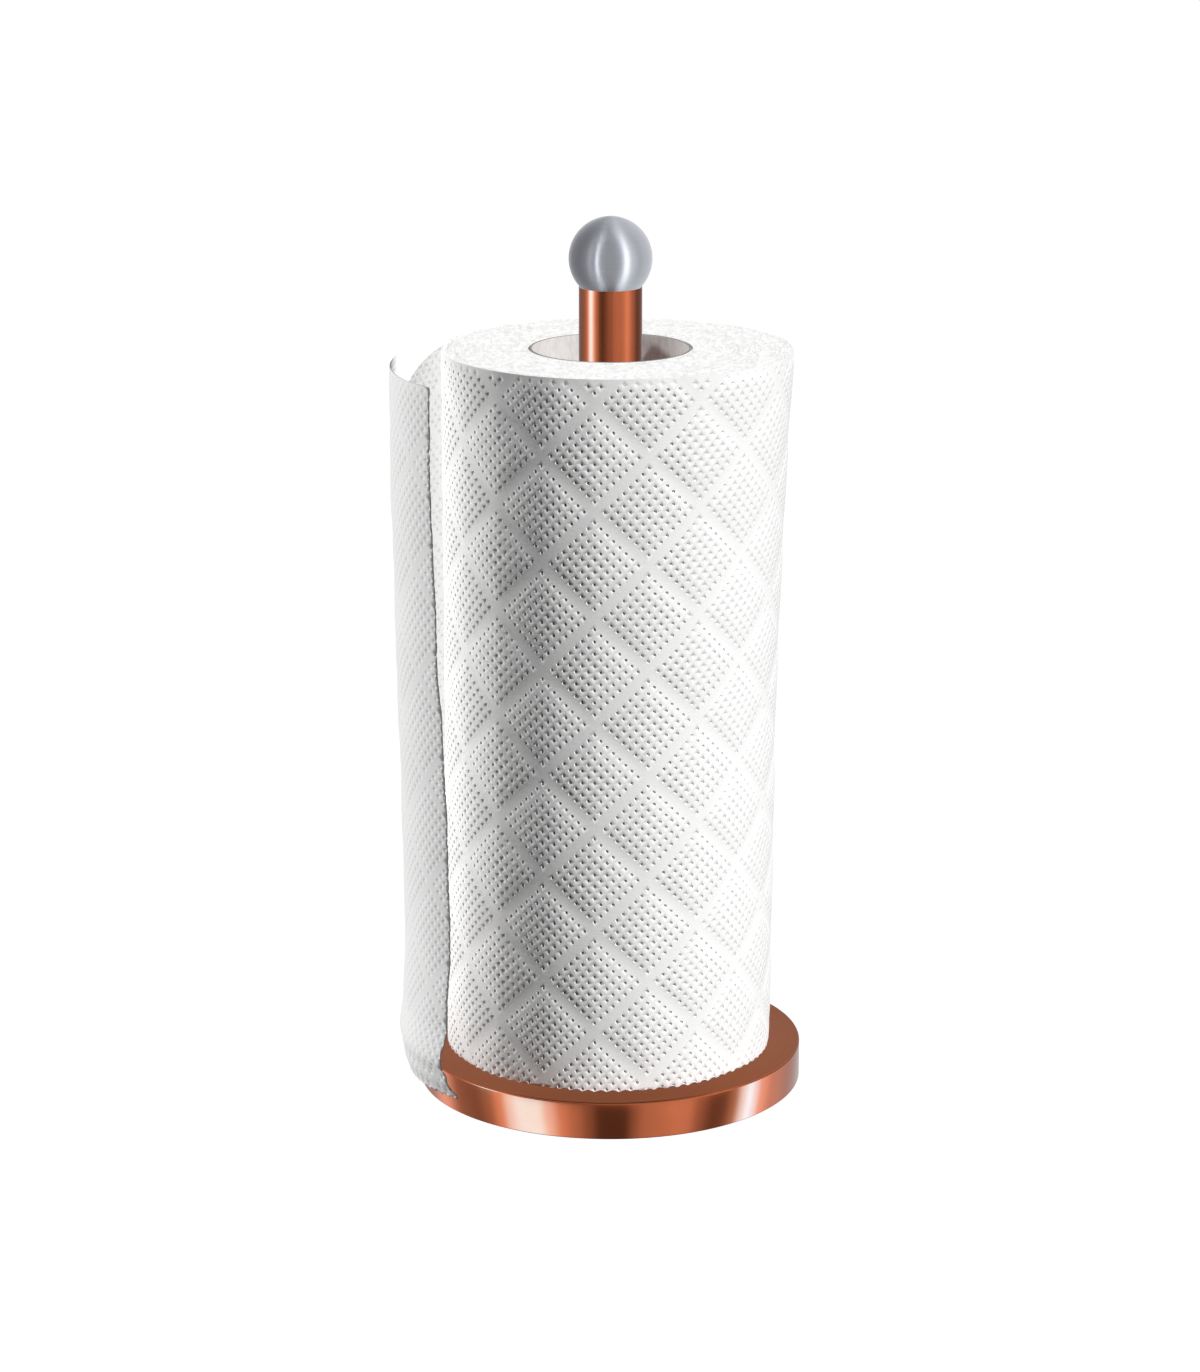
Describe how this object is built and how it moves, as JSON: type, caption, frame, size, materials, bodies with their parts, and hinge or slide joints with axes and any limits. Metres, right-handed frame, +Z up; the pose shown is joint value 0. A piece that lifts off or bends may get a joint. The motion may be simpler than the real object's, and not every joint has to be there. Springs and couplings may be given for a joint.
{
  "type": "paper towel holder",
  "caption": "Upright paper towel holder: weighted round base, upright tube with a ball on top, and a roll of embossed towel with a loose end.",
  "frame": {"origin": "on the pole's axis, at the underside of the foot pad, where the holder stands", "axes": "+Z up along the pole, -Y towards the front, +X to the right; the towel's loose end stands off at -X"},
  "size_m": [0.1318, 0.1283, 0.2847],
  "materials": {
    "copper": "copper plated steel, polished on the tube and the base's side, satin on the base's top",
    "brushed_steel": "stainless steel, fine turned brushing",
    "cast_iron": "rough cast, black",
    "zinc_steel": "zinc plated steel hardware",
    "rubber": "matte black non-slip rubber",
    "grey_card": "unbleached grey card, spirally wound",
    "tissue": "white embossed towel, matte"
  },
  "bodies": {
    "stand": {"base_cover": "copper", "base_weight": "cast_iron", "foot_pad": "rubber", "pole_screw": "zinc_steel", "lock_washer": "zinc_steel", "flat_washer": "zinc_steel", "pole_tube": "copper", "lower_plug": "zinc_steel", "upper_plug": "zinc_steel", "ball_stud": "zinc_steel", "ball_boss": "zinc_steel", "ball_upper_shell": "brushed_steel", "ball_lower_shell": "brushed_steel"},
    "core": {"roll_core": "grey_card"},
    "paper": {"wound_paper": "tissue", "loose_sheet": "tissue"}
  },
  "joints": [
    {"name": "roll_lift", "type": "slide", "parent": "stand", "child": "core", "axis": [0, 0, 1], "range_m": [0, 0.275]},
    {"name": "roll_turn", "type": "hinge", "parent": "core", "child": "paper", "pos_m": [0, 0, 0.1281], "axis": [0, 0, 1], "continuous": true}
  ]
}
